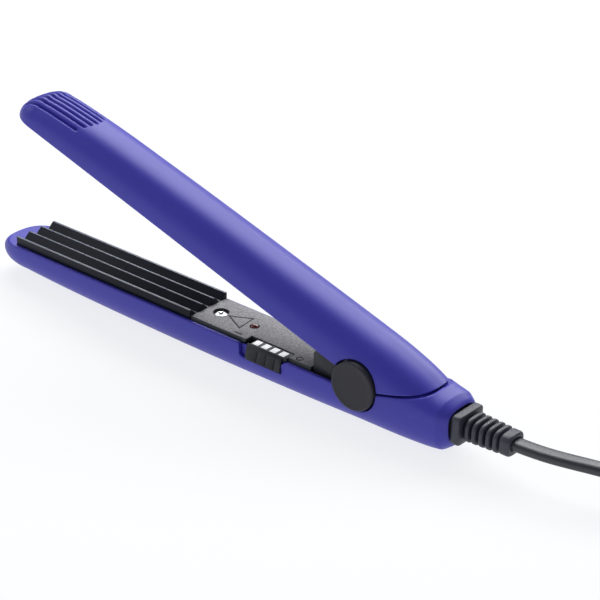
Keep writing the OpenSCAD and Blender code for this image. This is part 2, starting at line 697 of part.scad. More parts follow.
// The last stretch lies across the top of the hank to the plug
plug_x = hank_start + 62;
plug_y = 5;
plug_z = hank_top + tie_thick + 7;
plug_route = [
    [134, 22.2, hank_top + 1.7, 0], [140, 21.5, hank_top + 1.8, 0], [146, 19.1, hank_top + 2, 0],
    [152, 15, hank_top + 2.8, 0], [158, 10.4, hank_top + 4.2, 0], [164, 7, hank_top + 5.9, 0],
    [169, 5.4, hank_top + 7, 0], [174, plug_y, plug_z, 0]
];
module cord_plug_end() { color(charcoal) at_hinge() sweep(plug_route, cord_width, cord_height); }
// Strap around both sides of the hank
module cord_tie() {
    color(black) at_hinge() translate([0, 0, tie_thick + hank_height / 2 - hinge_height])
        along_x(hank_middle - 4, hank_middle + 4) difference() {
            square([2 * (hank_side + tie_thick), hank_height + 2 * tie_thick], center = true);
            square([2 * hank_side, hank_height], center = true);
        }
}
module plug_body() {
    color(black) at_hinge() translate([0, plug_y, plug_z]) {
        along_x(plug_x + 14, plug_x + plug_length) soft_box(35, 14, 3);
        along_x(plug_x + 7, plug_x + 14) soft_box(26, 13, 3);
        along_x(plug_x, plug_x + 7) soft_box(10, 10, 3);
    }
}
module plug_pins() {
    color(steel) at_hinge() for (s = [-1, 1])
        translate([plug_x + plug_length, plug_y + s * 9.3, plug_z]) rotate([0, 90, 0]) {
            cylinder(d = plug_pin_d, h = 18);
            translate([0, 0, 18]) cylinder(d1 = plug_pin_d, d2 = plug_pin_d - 1.4, h = 1);
        }
}

lower_shell();
lower_inner_cover();
lower_plate_tray();
lower_crimp_plate();
lower_heater();
lower_insulation();
lower_heater_clip();
lower_cover_screw();
led_indicator();
control_board();
board_components();
switch_body();
switch_slider();
slider_bars();
switch_actuator();
thermal_fuse();
lower_heater_leads();
mains_leads();
hinge_block();
hinge_pin();
hinge_cap_near();
hinge_cap_far();
hinge_washers();
hinge_spring();
hinge_leads();
upper_shell();
upper_inner_cover();
upper_plate_tray();
upper_crimp_plate();
upper_heater();
upper_insulation();
upper_heater_clip();
upper_cover_screw();
upper_hinge_frame();
upper_heater_leads();
strain_relief();
cord_clamp();
cord_clamp_screws();
inner_cord_end();
cord();
cord_hank();
cord_plug_end();
cord_tie();
plug_body();
plug_pins();
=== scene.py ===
"""Looks of the mini hair crimper: soft-touch arms, corrugated plates, switch, strain relief and cord.

Shapes are worked out in millimetres about the hinge axis, with the parting plane of the closed
arms at z = 0, and are placed in the frame by place(). The upper arm is built closed and turned open.
"""
import json
import math

import bmesh
import bpy
import numpy as np
from mathutils import Matrix, Vector

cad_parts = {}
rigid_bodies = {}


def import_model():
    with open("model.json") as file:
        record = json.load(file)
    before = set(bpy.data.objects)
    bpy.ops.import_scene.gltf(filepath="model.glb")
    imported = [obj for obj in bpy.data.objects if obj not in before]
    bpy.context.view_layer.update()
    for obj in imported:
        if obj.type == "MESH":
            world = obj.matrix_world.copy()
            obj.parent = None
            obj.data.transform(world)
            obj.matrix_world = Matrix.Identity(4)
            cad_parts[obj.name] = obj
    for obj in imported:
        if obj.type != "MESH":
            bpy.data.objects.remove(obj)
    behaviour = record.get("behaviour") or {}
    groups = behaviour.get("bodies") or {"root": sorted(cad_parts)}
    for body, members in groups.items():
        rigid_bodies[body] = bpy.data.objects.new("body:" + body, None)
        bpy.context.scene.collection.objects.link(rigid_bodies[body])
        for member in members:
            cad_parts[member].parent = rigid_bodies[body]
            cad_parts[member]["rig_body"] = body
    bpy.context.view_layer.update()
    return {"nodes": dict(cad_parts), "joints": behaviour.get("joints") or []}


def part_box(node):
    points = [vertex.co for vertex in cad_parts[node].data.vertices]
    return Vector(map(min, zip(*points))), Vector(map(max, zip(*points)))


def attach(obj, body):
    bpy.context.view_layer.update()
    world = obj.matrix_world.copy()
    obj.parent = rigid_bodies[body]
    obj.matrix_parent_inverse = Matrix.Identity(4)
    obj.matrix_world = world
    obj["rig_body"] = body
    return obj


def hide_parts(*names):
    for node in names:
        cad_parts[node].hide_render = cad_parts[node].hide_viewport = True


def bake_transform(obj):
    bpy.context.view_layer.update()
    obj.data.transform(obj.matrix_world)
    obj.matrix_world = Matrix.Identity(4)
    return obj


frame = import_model()

# ---------- sizes taken from the frame ----------

MM = 0.001
HINGE = sum(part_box("hinge_pin"), Vector()) / 2
OPEN = math.radians(next(j for j in frame["joints"] if j["name"] == "arm_hinge")["range_deg"][1])


def span(node, axis):
    """Lowest and highest place of a CAD node along an axis, in millimetres from the hinge."""
    return [(corner[axis] - HINGE[axis]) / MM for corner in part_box(node)]


NOSE, TAIL_END = span("lower_shell", 0)
HALF = span("lower_inner_cover", 1)[1] + 1.4        # half the arms' width
FLOOR = -HINGE.z / MM
PLATE_FRONT = span("lower_crimp_plate", 0)[0]
CAP_R = span("hinge_cap_near", 0)[1]
BOOT_END = span("strain_relief", 0)[1]
RECESS_FLOOR = TAIL_END - 3.6                       # floor of the recess about the strain relief
TAIL_TURN = TAIL_END - 3.5                          # where the tail's end begins to turn in
BOOT_Z = -3.3                                       # height of the cord's axis as it leaves
CORD_W, CORD_H = 5.3, 3.3
WALL = 1.3                                          # of the shells
RIM = 2.0                                           # from the parting plane to each shell's rim
RECESS_R = CAP_R + 0.5                              # round recess about the hinge caps


def place(points, upper=False):
    """Millimetres about the hinge to metres in the frame; the upper arm's points turn open."""
    p = np.asarray(points, float).reshape(-1, 3)
    if upper:
        c, s = math.cos(OPEN), math.sin(OPEN)
        p = np.column_stack((p[:, 0] * c + p[:, 2] * s, p[:, 1], p[:, 2] * c - p[:, 0] * s))
    return p * MM + np.array(HINGE)


# ---------- camera, floor and light ----------

AZIMUTH, ELEVATION, ROLL = (math.radians(a) for a in (39.43, 27.03, -1.61))
DISTANCE = 0.6142                                   # from the hinge axis to the camera, in metres
SHIFT_ACROSS, SHIFT_UP = -0.02246, 0.02237          # moves the object in the picture, in metres


def make_camera():
    """A long lens, above the object and to the right of its front, rolled a little."""
    right = Vector((math.cos(AZIMUTH), math.sin(AZIMUTH), 0))
    back = Vector((math.sin(AZIMUTH) * math.cos(ELEVATION), -math.cos(AZIMUTH) * math.cos(ELEVATION),
                   math.sin(ELEVATION)))
    up = back.cross(right)
    row = right * math.cos(ROLL) - up * math.sin(ROLL)
    column = right * math.sin(ROLL) + up * math.cos(ROLL)
    data = bpy.data.cameras.new("camera")
    data.lens, data.sensor_width = 121.9, 36
    camera = bpy.data.objects.new("camera", data)
    bpy.context.scene.collection.objects.link(camera)
    camera.matrix_world = Matrix((row, column, back)).transposed().to_4x4()
    camera.location = HINGE + back * DISTANCE + row * SHIFT_ACROSS + column * SHIFT_UP
    bpy.context.scene.camera = camera


def area_light(name, place_at, aim, size, power):
    """A round softbox; places and size in metres, power in watts."""
    data = bpy.data.lights.new(name, "AREA")
    data.shape = "DISK"
    data.size, data.energy = size, power
    light = bpy.data.objects.new(name, data)
    bpy.context.scene.collection.objects.link(light)
    light.location = place_at
    light.rotation_euler = (Vector(aim) - Vector(place_at)).to_track_quat("-Z", "Y").to_euler()


def make_floor():
    """A wide floor that passes for an endless sweep."""
    reach = 40
    corners = [(-reach, -reach, 0), (reach, -reach, 0), (reach, reach, 0), (-reach, reach, 0)]
    mesh = bpy.data.meshes.new("floor")
    mesh.from_pydata(corners, [], [(0, 1, 2, 3)])
    mesh.materials.append(floor_paint())
    floor = bpy.data.objects.new("floor", mesh)
    bpy.context.scene.collection.objects.link(floor)


def make_studio():
    """The floor, a dim cool surround, two softboxes behind the object and a weak one in front."""
    make_floor()
    world = bpy.data.worlds.new("studio")
    world.use_nodes = True
    surround = world.node_tree.nodes["Background"].inputs
    surround["Color"].default_value = (0.96, 0.97, 1, 1)
    surround["Strength"].default_value = 0.35
    bpy.context.scene.world = world
    area_light("top_softbox", (-0.45, 0.5, 0.8), (0, 0, 0.01), 0.9, 10)
    area_light("rear_softbox", (0, 1.0, 0.65), (0.02, 0, 0.01), 0.6, 6.5)
    area_light("front_fill", (-0.95, -0.5, 0.6), (0, 0, 0.01), 0.5, 1.7)
    bpy.context.scene.view_settings.view_transform = "Standard"


# ---------- materials ----------

def linear(rgb):
    """Display values from 0 to 255 to the shader's linear colour."""
    return tuple((c / 255 / 12.92) if c <= 10 else ((c / 255 + 0.055) / 1.055) ** 2.4 for c in rgb) + (1,)


def scaled(colour, factor, lift=0.0):
    """A linear colour made darker or lighter."""
    return tuple(min(c * factor + lift, 1) for c in colour[:3]) + (1,)


def floor_paint():
    """Pale matt paint that glows a little, so that its shadows stay light."""
    material = bpy.data.materials.new("floor_paint")
    material.use_nodes = True
    shader = material.node_tree.nodes["Principled BSDF"].inputs
    shader["Base Color"].default_value = (0.17, 0.17, 0.17, 1)
    shader["Roughness"].default_value = 0.9
    shader["Specular IOR Level"].default_value = 0.1
    shader["Emission Color"].default_value = (0.98, 0.99, 1, 1)
    shader["Emission Strength"].default_value = 0.81
    return material


TONE_SCALE = 60                 # slow changes of tone, per metre
GRAIN_BAND = 0.35, 0.65         # the part of the fine noise that the grain is drawn from
EDGE_BAND = 0.51, 0.58          # pointiness at which the painted edge highlight begins and is full


def finish_of(name, colour, roughness, tone=0.1, grain=0.0, grain_scale=2500, bump=0.05, bump_scale=2500,
              rough_spread=0.08, metallic=0.0, coat=0.0, edge_highlight=0.0, edge_highlight_colour=None, stretch=(1, 1, 1),
              subsurface=0.0, specular=0.5, emission=0.0):
    """A moulded, coated or metal finish: slow changes of tone, fine grain in colour, roughness and
    bump, and convex edges painted lighter as a highlight. Scales are per metre; stretch draws the grain out."""
    material = bpy.data.materials.new(name)
    material.use_nodes = True
    tree = material.node_tree
    shader = tree.nodes["Principled BSDF"]
    link = tree.links.new

    def node(kind, **inputs):
        made = tree.nodes.new(kind)
        for key, value in inputs.items():
            made.inputs[key.replace("_", " ")].default_value = value
        return made

    def mixed(factor, a, b, blend="MIX"):
        made = tree.nodes.new("ShaderNodeMix")
        made.data_type, made.blend_type = "RGBA", blend
        for socket, value in ((0, factor), (6, a), (7, b)):
            if isinstance(value, bpy.types.NodeSocket):
                link(value, made.inputs[socket])
            else:
                made.inputs[socket].default_value = value
        return made.outputs[2]

    def remapped(value, band, low, high):
        made = node("ShaderNodeMapRange", From_Min=band[0], From_Max=band[1], To_Min=low, To_Max=high)
        link(value, made.inputs["Value"])
        return made.outputs["Result"]

    where = tree.nodes.new("ShaderNodeTexCoord").outputs["Object"]
    mapping = node("ShaderNodeMapping", Scale=stretch)
    link(where, mapping.inputs["Vector"])
    fine = node("ShaderNodeTexNoise", Scale=grain_scale, Detail=3.0, Roughness=0.6)
    broad = node("ShaderNodeTexNoise", Scale=TONE_SCALE, Detail=2.0)
    relief = node("ShaderNodeTexNoise", Scale=bump_scale, Detail=4.0, Roughness=0.65)
    for texture in (fine, relief):
        link(mapping.outputs["Vector"], texture.inputs["Vector"])
    link(where, broad.inputs["Vector"])

    base = linear(colour)
    result = mixed(broad.outputs["Fac"], scaled(base, 1 - tone), scaled(base, 1 + tone))
    if grain:
        shade = remapped(fine.outputs["Fac"], GRAIN_BAND, 1 - grain, 1 + grain)
        grey = tree.nodes.new("ShaderNodeCombineColor")
        for channel in range(3):
            link(shade, grey.inputs[channel])
        result = mixed(1.0, result, grey.outputs["Color"], "MULTIPLY")
    # convex edges, found by pointiness, are painted lighter: a painted highlight
    if edge_highlight:
        pointiness = tree.nodes.new("ShaderNodeNewGeometry").outputs["Pointiness"]
        painted_edge_colour = linear(edge_highlight_colour) if edge_highlight_colour else scaled(base, 1.8, 0.02)
        result = mixed(remapped(pointiness, EDGE_BAND, 0, edge_highlight), result, painted_edge_colour)
    link(result, shader.inputs["Base Color"])

    gloss = remapped(fine.outputs["Fac"], (0, 1), roughness - rough_spread, roughness + rough_spread)
    link(gloss, shader.inputs["Roughness"])
    ripple = node("ShaderNodeBump", Strength=bump, Distance=0.0002)
    link(relief.outputs["Fac"], ripple.inputs["Height"])
    link(ripple.outputs["Normal"], shader.inputs["Normal"])
    for socket, value in (("Metallic", metallic), ("Coat Weight", coat), ("Subsurface Weight", subsurface),
                          ("Subsurface Scale", MM), ("Specular IOR Level", specular)):
        shader.inputs[socket].default_value = value
    # a glow in the base colour: painted light on a part that is no lamp
    if emission:
        shader.inputs["Emission Color"].default_value = base
        shader.inputs["Emission Strength"].default_value = emission
    return material


# Each finish's amount for lighter edges paints its convex edges lighter: a painted highlight.
FINISHES = {
    "violet_shell": finish_of("violet_soft_touch", (57, 54, 168), 0.42, tone=0.05, grain=0.05, bump=0.06,
                              edge_highlight=0.25, edge_highlight_colour=(96, 92, 200), rough_spread=0.05, specular=0.35),
    # the panel's upward face is painted light grey and its flanks dark charcoal: painted light and painted
    # shade on one charcoal moulding
    "panel_grey": finish_of("panel_sparked_face_painted_light", (122, 121, 126), 0.55, tone=0.06, grain=0.45,
                            grain_scale=1700, bump=0.35, bump_scale=1800),
    "panel_flank_painted_shade": finish_of("panel_flank_painted_shade", (38, 43, 49), 0.5, grain=0.15, bump=0.2, edge_highlight=0.3),
    "plate_coating": finish_of("plate_ceramic_coat", (13, 18, 30), 0.42, tone=0.12, grain=0.2,
                               grain_scale=1800, bump=0.12, specular=0.2, stretch=(0.15, 1, 1)),
    # light crest lines on the plates: a painted highlight
    "plate_crest": finish_of("plate_crest_painted_highlight", (104, 110, 124), 0.35, grain=0.15, bump=0.1,
                             stretch=(0.15, 1, 1)),
    "mark_ink": finish_of("mark_ink", (26, 26, 30), 0.6, grain=0.15, bump=0.2),
    "heat_black": finish_of("heat_resistant_black", (30, 31, 35), 0.55, grain=0.15, bump=0.15),
    "black_plastic": finish_of("black_moulding", (29, 31, 38), 0.42, grain=0.12, bump=0.1, edge_highlight=0.35,
                               specular=0.35),
    "cap_charcoal": finish_of("cap_satin_charcoal", (38, 38, 48), 0.44, tone=0.08, grain=0.12, bump=0.12,
                              edge_highlight=0.5, specular=0.3),
    "boot_rubber": finish_of("boot_rubber", (50, 53, 65), 0.46, tone=0.1, grain=0.1, bump=0.12, edge_highlight=0.35,
                             specular=0.45),
    "cord_sheath": finish_of("cord_pvc", (52, 54, 62), 0.34, tone=0.08, grain=0.06, bump=0.08,
                             stretch=(0.3, 1, 1)),
    "plug_black": finish_of("plug_moulding", (36, 37, 42), 0.42, grain=0.1, bump=0.12, edge_highlight=0.3),
    "plug_metal": finish_of("plug_nickel", (196, 194, 186), 0.25, grain=0.05, bump=0.05, metallic=1.0,
                            stretch=(0.1, 1, 1)),
    "screw_steel": finish_of("screw_zinc", (205, 206, 210), 0.24, grain=0.08, bump=0.06, metallic=1.0),
    "spring_steel": finish_of("spring_steel", (150, 150, 152), 0.3, grain=0.1, metallic=1.0, bump=0.05),
    # the white parts glow a little: painted light that makes them brighter than the lamps light them
    "white_print": finish_of("white_moulding_painted_glow", (250, 250, 252), 0.4, tone=0.03, grain=0.03, bump=0.05,
                             emission=0.3),
    "led_red": finish_of("led_lens", (92, 12, 20), 0.16, tone=0.2, bump=0.02, coat=0.6, subsurface=0.2),
    "ceramic": finish_of("ceramic_white", (214, 208, 196), 0.5, grain=0.06, bump=0.15),
    "insulation_sheet": finish_of("insulation_sheet", (200, 182, 138), 0.7, grain=0.2, bump=0.4,
                                  stretch=(1, 0.2, 1)),
    "board_green": finish_of("board_laminate", (36, 92, 58), 0.35, grain=0.15, coat=0.3),
    "component_black": finish_of("component_epoxy", (60, 50, 40), 0.5, grain=0.2, bump=0.2),
    "lead_white": finish_of("lead_sleeve", (206, 202, 192), 0.6, grain=0.12, bump=0.3,
                            stretch=(1, 1, 0.3)),
}


# ---------- mesh tools ----------

class Sheets:
    """Points and faces gathered from grids; coincident points are welded when the piece is made."""

    def __init__(self):
        self.points, self.faces = [], []

    def grid(self, rows, closed=False):
        """Quads between rows of points; closed joins each row's end to its start."""
        rows = np.asarray(rows, float)
        n, m = rows.shape[:2]
        base = len(self.points)
        self.points.extend(rows.reshape(-1, 3))
        for i in range(n - 1):
            for j in range(m if closed else m - 1):
                k = (j + 1) % m
                a, b = base + i * m + j, base + i * m + k
                self.faces.append((a, b, b + m, a + m))

    def cap(self, ring):
        """Closes a ring of points with a fan about its middle."""
        ring = np.asarray(ring, float)
        base = len(self.points)
        self.points.extend(ring)
        self.points.append(ring.mean(0))
        n = len(ring)
        self.faces.extend((base + k, base + (k + 1) % n, base + n) for k in range(n))

    def tube(self, rings):
        """A closed skin over rings of points."""
        self.grid(rings, closed=True)
        self.cap(rings[0])
        self.cap(rings[-1])


WELD = 0.004 * MM               # points nearer than this are one
TINY_EDGE = 1e-7


def piece(name, source, body, slot, replaces=(), upper=False, sharp=38):
    """A piece from Sheets or from a bmesh in the frame, smooth except across edges over sharp
    degrees."""
    mesh = bpy.data.meshes.new(name)
    if isinstance(source, Sheets):
        mesh.from_pydata(place(source.points, upper).tolist(), [], source.faces)
        work = bmesh.new()
        work.from_mesh(mesh)
        bmesh.ops.remove_doubles(work, verts=work.verts, dist=WELD)
        bmesh.ops.dissolve_degenerate(work, edges=work.edges, dist=TINY_EDGE)
        bmesh.ops.recalc_face_normals(work, faces=work.faces)
    else:
        work = source
    work.to_mesh(mesh)
    work.free()
    mesh.shade_smooth()
    mesh.set_sharp_from_angle(angle=math.radians(sharp))
    mesh.materials.append(FINISHES[slot])
    obj = bpy.data.objects.new(name, mesh)
    bpy.context.scene.collection.objects.link(obj)
    if body:
        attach(obj, body)
    if replaces:
        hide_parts(*replaces)
    return obj


CAD_WELD = 2e-6                 # joins the CAD mesh's seams, in metres
FLAT = math.radians(0.6)        # faces that meet at less are one face
CORNER = math.radians(28)       # edges that turn by more are eased


def eased(node, width, segments=2):
    """A CAD node's solid as a bmesh, with its moulded edges eased by width in millimetres."""
    work = bmesh.new()
    work.from_mesh(frame["nodes"][node].data)
    bmesh.ops.remove_doubles(work, verts=work.verts, dist=CAD_WELD)
    bmesh.ops.dissolve_degenerate(work, edges=work.edges, dist=CAD_WELD)
    bmesh.ops.dissolve_limit(work, angle_limit=FLAT, verts=work.verts, edges=work.edges)
    bmesh.ops.recalc_face_normals(work, faces=work.faces)
    if width:
        edges = [e for e in work.edges if len(e.link_faces) == 2 and e.calc_face_angle() > CORNER]
        bmesh.ops.bevel(work, geom=edges, offset=width * MM, offset_type="OFFSET", segments=segments,
                        profile=0.5, affect="EDGES", clamp_overlap=True, miter_outer="ARC")
    return work


def hermite(t, start, end, start_rise, end_rise):
    """Smooth curve from start to end as t runs from 0 to 1, with the given rises over the whole gap."""
    return ((2 * t ** 3 - 3 * t ** 2 + 1) * start + (t ** 3 - 2 * t ** 2 + t) * start_rise
            + (3 * t ** 2 - 2 * t ** 3) * end + (t ** 3 - t ** 2) * end_rise)


def smooth_path(points, step):
    """Rows of points joined by a smooth curve and sampled about every step."""
    p = np.asarray(points, float)
    gaps = np.linalg.norm(np.diff(p[:, :3], axis=0), axis=1)
    knots = np.concatenate(([0], np.cumsum(gaps)))
    slopes = np.gradient(p, knots, axis=0)
    out = []
    for i, gap in enumerate(gaps):
        count = max(1, round(gap / step))
        for t in np.arange(count) / count:
            out.append(hermite(t, p[i], p[i + 1], gap * slopes[i], gap * slopes[i + 1]))
    out.append(p[-1])
    return np.array(out)


def headings(centre):
    """Unit directions along a line of points."""
    ahead = np.gradient(centre, axis=0)
    return ahead / np.linalg.norm(ahead, axis=1)[:, None]


def swept(path, section):
    """Rings of a section [across, up] carried level along a path whose fourth column is its roll."""
    centre = path[:, :3]
    ahead = headings(centre)
    side = np.cross([0, 0, 1], ahead)
    side /= np.linalg.norm(side, axis=1)[:, None]
    over = np.cross(ahead, side)
    roll = np.radians(path[:, 3])[:, None, None]
    across, up = section[None, :, :1], section[None, :, 1:]
    return (centre[:, None] + side[:, None] * (across * np.cos(roll) - up * np.sin(roll))
            + over[:, None] * (across * np.sin(roll) + up * np.cos(roll)))


WIRE_SIDES = 12
WIRE_STEP = 0.5


def round_wire(points, radius):
    """Rings of a round wire along any path, each ring carried over from the one before."""
    path = smooth_path(points, WIRE_STEP)
    turn = np.linspace(0, 2 * math.pi, WIRE_SIDES, endpoint=False)
    side, rings = np.array([0.0, 1, 0]), []
    for centre, ahead in zip(path, headings(path)):
        side = side - ahead * (side @ ahead)
        side /= np.linalg.norm(side)
        circle = np.outer(np.cos(turn), side) + np.outer(np.sin(turn), np.cross(ahead, side))
        rings.append(centre + radius * circle)
    return np.array(rings)


# ---------- cord, hank and plug ----------

cord_route = [
    [50, 0, -3.3, 0], [54, 0, -3.3, 0], [58, 0.3, -3.3, 0], [63, 1, -3.3, 0], [69, 2.4, -3.3, 0],
    [75, 4.4, -3.5, 0], [81, 6.9, -4.2, 0], [87, 9.4, -5.7, 0], [93, 11.6, -7.8, 0],
    [99, 13.5, -10, 5], [105, 15.2, -11.7, 20], [111, 16.8, -12.2, 40], [117, 18.3, -12, 60],
    [123, 19.7, -11.6, 80], [129, 20.9, -11.4, 90]
]
hank_entry = [134, 21.8, -11.45, 90]                # where the cord, on edge, joins the hank
HANK_TOP = span("cord_hank", 2)[1]
LYING_Z = HANK_TOP + 1.7                            # the cord's axis where it lies flat on the hank
TIE = 0.5                                           # thickness of the strap round the hank
HANK_RUN = 44                                       # straight part of a turn
HANK_MIDDLE = sum(span("cord_hank", 0)) / 2
HANK_LAYERS = 4
HANK_PITCH = CORD_H + 0.3
LAYER_HEIGHT = CORD_W + 0.1
OUTER_R = 3 * CORD_W + 0.1 + 2 * HANK_PITCH
HANK_Y = -HANK_PITCH / 4
PLUG_Y, PLUG_Z = 5, HANK_TOP + TIE + 7
plug_route = [
    [134, 22.2, LYING_Z, 0], [140, 21.5, HANK_TOP + 1.8, 0], [146, 19.1, HANK_TOP + 2, 0],
    [152, 15, HANK_TOP + 2.8, 0], [158, 10.4, HANK_TOP + 4.2, 0], [164, 7, HANK_TOP + 5.9, 0],
    [169, 5.4, HANK_TOP + 7, 0], [174, PLUG_Y, PLUG_Z, 0]
]
STRAIGHT_STEPS, FOLD_STEPS = 6, 28                  # points along a straight run, and along the rest
ENTRY_SHARE = 0.2                                   # how far along the first straight run the cord joins


def gentle(share):
    """Eases a share from 0 to 1 in and out."""
    return share * share * (3 - 2 * share)


def hank_route():
    """Two turns a layer, spiralling in and out by turns; the cord lies on edge and climbs to the
    next layer along a straight run. The last fold rises flat onto the top of the hank."""
    near_x, far_x = HANK_MIDDLE - HANK_RUN / 2, HANK_MIDDLE + HANK_RUN / 2
    first_z = FLOOR + TIE + CORD_W / 2
    route, radius, height = [], OUTER_R, first_z
    for turn in range(2 * HANK_LAYERS):
        layer = turn // 2
        inward = layer % 2 == 0
        climbs = turn % 2 == 0 and turn > 0
        for t in np.linspace(0 if turn else ENTRY_SHARE, 1, STRAIGHT_STEPS)[:-1]:
            z = height - (LAYER_HEIGHT * (1 - gentle(t)) if climbs else 0)
            route.append([near_x + HANK_RUN * t, HANK_Y + radius, z, 90])
        after = radius + (-HANK_PITCH if inward else HANK_PITCH)
        fold = math.pi * (radius + after) / 2
        whole = 2 * fold + HANK_RUN
        last = turn == 2 * HANK_LAYERS - 1
        for s in np.linspace(0, whole, FOLD_STEPS)[:-1]:
            r = radius + (after - radius) * s / whole
            if s < fold:
                a = math.pi * s / fold
                x, y = far_x + r * math.sin(a), HANK_Y + r * math.cos(a)
            elif s < fold + HANK_RUN:
                x, y = far_x - (s - fold), HANK_Y - r
            else:
                a = math.pi * (s - fold - HANK_RUN) / fold
                x, y = near_x - r * math.sin(a), HANK_Y - r * math.cos(a)
            rise = gentle(max(0.0, (s - fold - HANK_RUN) / fold)) if last else 0
            route.append([x, y, height + rise * (LYING_Z - height), 90 * (1 - rise)])
        radius = after
        if turn % 2 == 1:
            height += LAYER_HEIGHT
    return route


def cord_section():
    """Flat twin cord: rounded sides and a shallow waist between the two cores."""
    a = np.linspace(0, 2 * math.pi, 24, endpoint=False) + math.pi / 24
    across = CORD_W / 2 * np.sign(np.cos(a)) * np.abs(np.cos(a)) ** 0.8
    up = CORD_H / 2 * np.sign(np.sin(a)) * np.abs(np.sin(a)) ** 0.62
    return np.column_stack((across, up * (1 - 0.07 * np.exp(-(across / 0.7) ** 2))))


CORD_STEP = 1.7


def make_cord():
    """The whole cord as one sweep, from inside the strain relief to the plug, made together with its plug."""
    path = smooth_path(cord_route + [hank_entry] + hank_route() + plug_route, CORD_STEP)
    sheets = Sheets()
    sheets.tube(swept(path, cord_section()))
    cord = piece("mains_cord", sheets, "lower_arm", "cord_sheath", ("cord", "cord_hank", "cord_plug_end"))
    plug = make_plug()


def make_plug():
    """The plug's moulding and its two contacts."""
    body = piece("plug_moulding", eased("plug_body", 0.9, 3), "lower_arm", "plug_black", ("plug_body",))
    pins = piece("plug_contacts", eased("plug_pins", 0), "lower_arm", "plug_metal", ("plug_pins",))
    return [body, pins]


# ---------- shells ----------

POWER = 2.67                  # squareness of the arms' cross-section
NOSE_POWER = 2.6              # squareness of the nose seen from above
NOSE_START = -145
DECK_END = PLATE_FRONT - 0.3  # the solid deck in the nose ends just before the plates
POCKET_END = -142             # behind it the shell is hollow to its full depth
POCKET_FLOOR = 4.2
HOLLOW_END = 27.1             # behind it the tail is solid
UPPER_DEPTH = 6               # of the upper arm's full section below its widest line
TAIL_START, TAIL_RISE = 10, 0.02   # where the lower arm's widest line begins to rise, and its slope
DEEPER = 1.3                  # how much thicker the walls are above and below than beside
SEAM_GAP = 0.6
SEAM_START, SEAM_END = RECESS_R - 0.6, 28
EASE = 0.4                    # rounding of the rims' outer edges
LIP = 0.2                     # rounding of their inner edges
ROUNDING = np.radians([0, 30, 60, 90])

# The recess in the lower arm's rim for the switch's skirt
NOTCH_FRONT, NOTCH_REAR, NOTCH_LOW = -45.8, -26.7, -6.7
NOTCH_SLOPE = -28.3           # its rear corner slopes down from the rim to here
NOTCH_SHOULDER = 1.3          # and is this much lower there
NOTCH_FILLET = 1.6            # roundness of its front corner
NOTCH_LIP = 0.6               # rounding where the rim turns down into it

# Points along each outline
SECTION_POINTS, INNER_POINTS, LOWER_POINTS, UPPER_POINTS = 361, 15, 30, 17
GRIP_SHARE, GRIP_POINTS = 0.77, 48   # the upper arm's crown has even columns over this much of its width
PLAN_POINTS, NOSE_ROWS, DECK_POINTS = 721, 34, 12

# Outlines along the arms, as [distance behind the hinge axis, height], or half the width for the
# two named half. seam is the edge between the arms behind the caps, in the open pose.
belly = [[-150, -12.1], [-132, -13.3], [-105, -14.3], [-60, -14.95], [-20, -14.6], [0, -14.1],
         [20, -13.9], [29, -13.3], [TAIL_END, -11.8]]
tail_top = [[-150, 8], [0, 8], [20, 6.5], [26.5, 4.7], [30.5, 3.6], [TAIL_END, 2.3]]
lower_half = [[-150, HALF], [0, HALF], [14, HALF - 0.1], [26, HALF - 0.8], [30.5, HALF - 1.4],
              [TAIL_END, HALF - 2.6]]
seam = [[SEAM_START, -0.2], [12, 0.8], [17.5, 2.2], [22, 3.5], [25, 4.6], [26.6, 5.5], [SEAM_END, 10]]
crown = [[-150, 10.3], [-140, 11.9], [-120, 13.3], [-100, 13.8], [-75, 14.2], [-40, 14.4],
         [0, 14.4], [8, 14], [16, 13.1], [24, 11.5]]
upper_half = [[-150, HALF], [-110, HALF], [0, HALF], [14, HALF - 0.2], [24, HALF - 1]]


def curve(stations, x):
    """The value at x of a smooth curve through [x, value] stations."""
    n = len(stations)
    i = next((k for k in range(n - 2) if x < stations[k + 1][0]), n - 2)

    def slope(k):
        a, b = max(k - 1, 0), min(k + 1, n - 1)
        return (stations[b][1] - stations[a][1]) / (stations[b][0] - stations[a][0])

    gap = stations[i + 1][0] - stations[i][0]
    t = (x - stations[i][0]) / gap
    return hermite(t, stations[i][1], stations[i + 1][1], gap * slope(i), gap * slope(i + 1))


def turned(x, z):
    """A point of the open pose in the closed arm's frame."""
    c, s = math.cos(OPEN), math.sin(OPEN)
    return x * c - z * s, x * s + z * c


upper_seam = np.array([turned(x, curve(seam, x)) for x in np.linspace(SEAM_START, SEAM_END, 80)])
upper_seam += [-SEAM_GAP * 0.5, SEAM_GAP]


def seam_height(x):
    """Height of the upper arm's edge at x behind the caps."""
    return float(np.interp(x, *upper_seam.T))


def half_ring(half, middle, up, down, side):
    """Half a squarish section as [y, z], ending at its crown (side 1) or its belly (side -1)."""
    t = np.linspace(-1, 1, SECTION_POINTS) * math.pi / 2 * side
    rise = np.sign(t) * np.abs(np.sin(t)) ** (2 / POWER)
    y = half * np.cos(t).clip(0) ** (2 / POWER)
    return np.column_stack((y, (middle + np.where(t > 0, up, down) * rise).clip(FLOOR)))


def cut_at(outline, edge, side):
    """What is left of a half section past the rim's height; two equal points if nothing is left."""
    z, stop = outline[:, 1] * side, edge * side
    if stop >= z.max():
        return np.repeat([[0, outline[-1, 1]]], 2, axis=0)
    k = int(np.argmax(z > stop))
    if k == 0:
        return outline
    share = (stop - z[k - 1]) / (z[k] - z[k - 1])
    return np.vstack((outline[k - 1] + (outline[k] - outline[k - 1]) * share, outline[k:]))


def lengths_along(outline):
    """The length of a polyline up to each of its points."""
    return np.concatenate(([0], np.cumsum(np.linalg.norm(np.diff(outline, axis=0), axis=1))))


def spaced(outline, shares):
    """Points of a polyline at the given shares of its length."""
    steps = lengths_along(outline)
    return np.column_stack([np.interp(np.asarray(shares) * steps[-1], steps, column) for column in outline.T])


